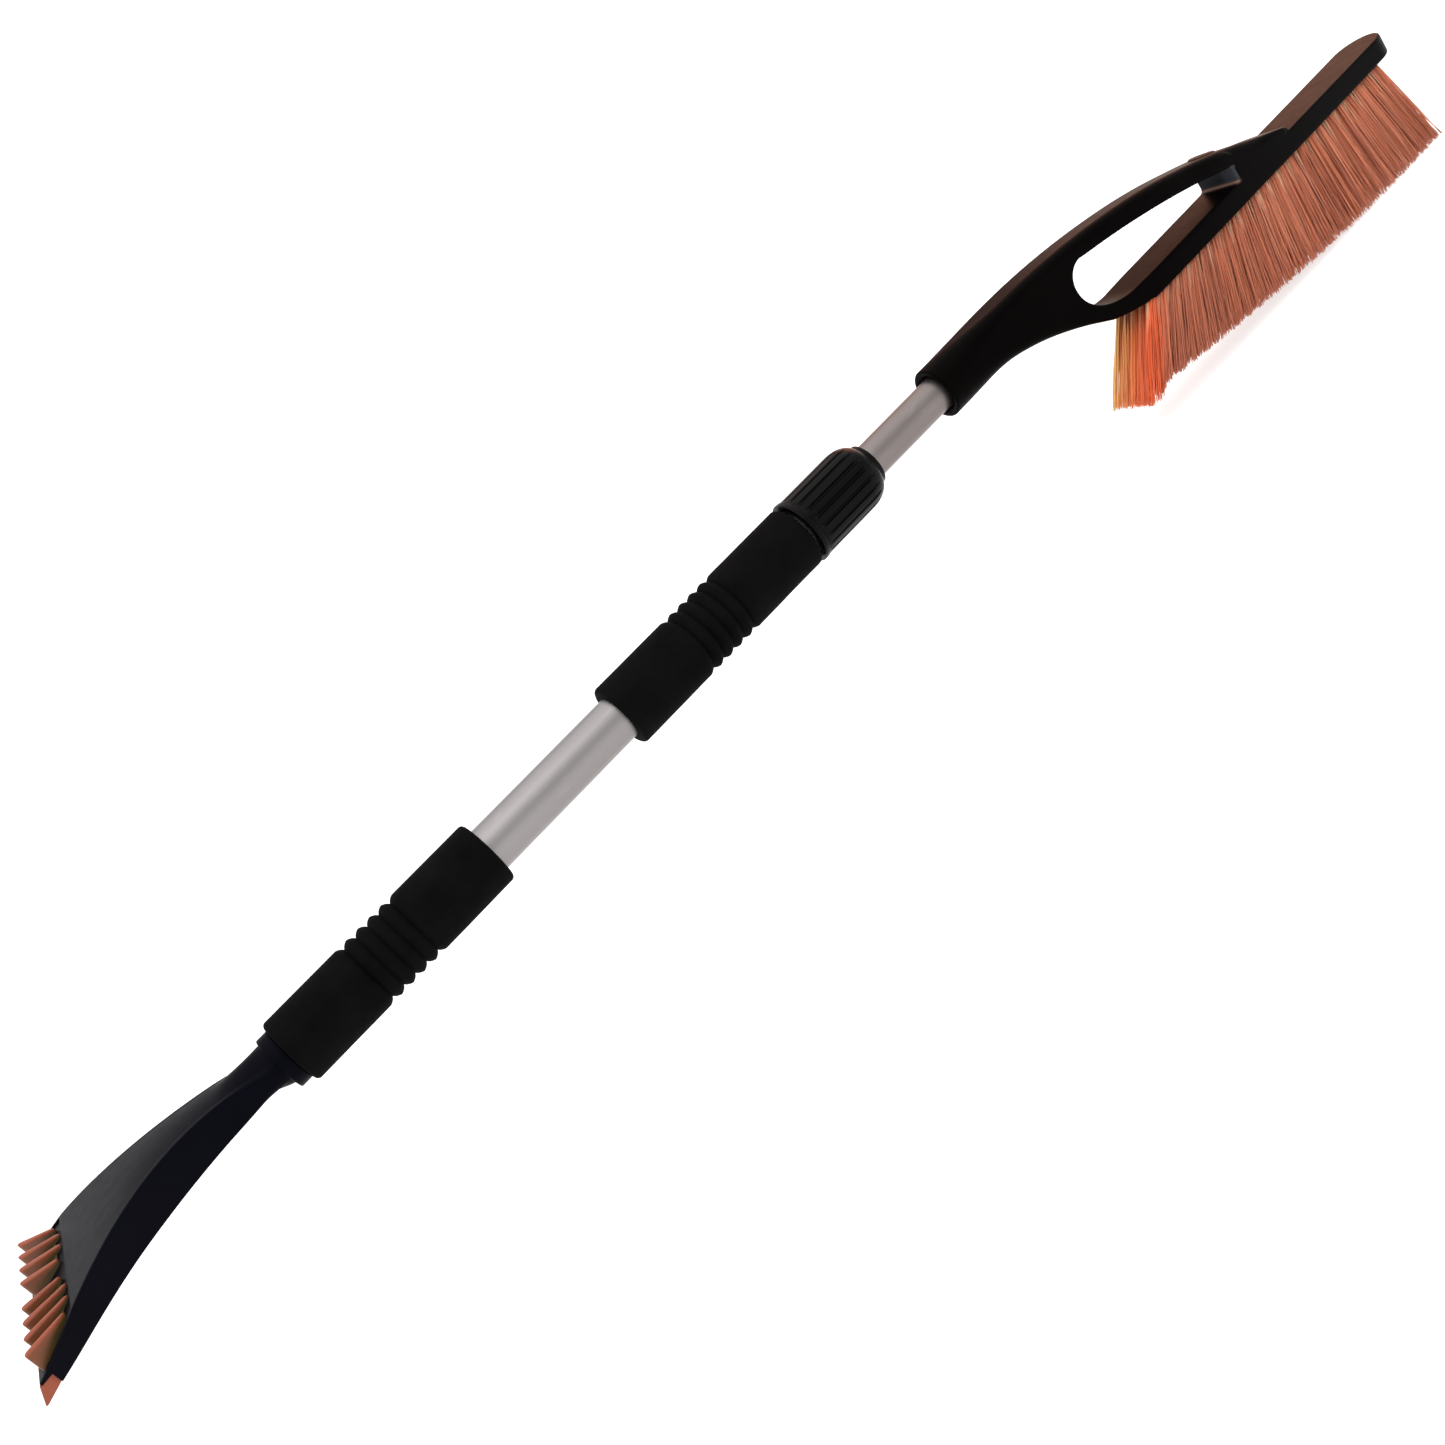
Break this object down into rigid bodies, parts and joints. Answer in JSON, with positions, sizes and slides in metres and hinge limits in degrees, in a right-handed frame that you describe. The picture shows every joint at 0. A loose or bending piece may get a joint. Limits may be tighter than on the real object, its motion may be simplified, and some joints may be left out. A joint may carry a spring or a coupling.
{
  "type": "telescopic snow brush and ice scraper",
  "caption": "Telescopic snow brush with a D-shaped loop, bristle bar, twist-lock aluminium pole, foam grips, and a fan-shaped ice scraper with comb teeth.",
  "frame": {"origin": "middle of the object's length and width, at the height of the bristle tips", "axes": "+X along the pole from the scraper to the brush, +Y across the blade, +Z away from the bristle tips"},
  "size_m": [1.0124, 0.124, 0.1275],
  "materials": {
    "aluminium": "satin",
    "black_plastic": "satin",
    "collar_plastic": "gloss",
    "grey_plastic": "satin",
    "rubber": "matte",
    "foam": "matte",
    "orange_plastic": "satin",
    "bristle": "satin",
    "steel": "satin"
  },
  "bodies": {
    "outer_pole": {"outer_tube": "aluminium", "scraper_head": "black_plastic", "scraper_blade": "orange_plastic", "ice_comb_left": "orange_plastic", "ice_comb_right": "orange_plastic", "scraper_rivets": "steel", "foam_grip_lower": "foam", "foam_grip_upper": "foam", "threaded_ferrule": "black_plastic"},
    "collar": {"lock_collar": "collar_plastic", "wiper_ring": "rubber"},
    "collet": {"clamp_collet": "grey_plastic"},
    "inner_pole": {"inner_tube": "aluminium", "guide_bush": "grey_plastic", "brush_head": "black_plastic", "brush_head_rivet": "steel", "bristle_row_1": "bristle", "bristle_row_2": "bristle", "bristle_row_3": "bristle", "bristle_row_4": "bristle", "bristle_row_5": "bristle"}
  },
  "joints": [
    {"name": "collar_twist", "type": "hinge", "parent": "outer_pole", "child": "collar", "pos_m": [0.037, 0, 0.1085], "axis": [1, 0, 0], "range_deg": [0, 150]},
    {"name": "head_turn", "type": "hinge", "parent": "outer_pole", "child": "collet", "pos_m": [0.04, 0, 0.1085], "axis": [1, 0, 0], "continuous": true},
    {"name": "pole_extend", "type": "slide", "parent": "collet", "child": "inner_pole", "axis": [1, 0, 0], "range_m": [-0.055, 0.27]}
  ]
}
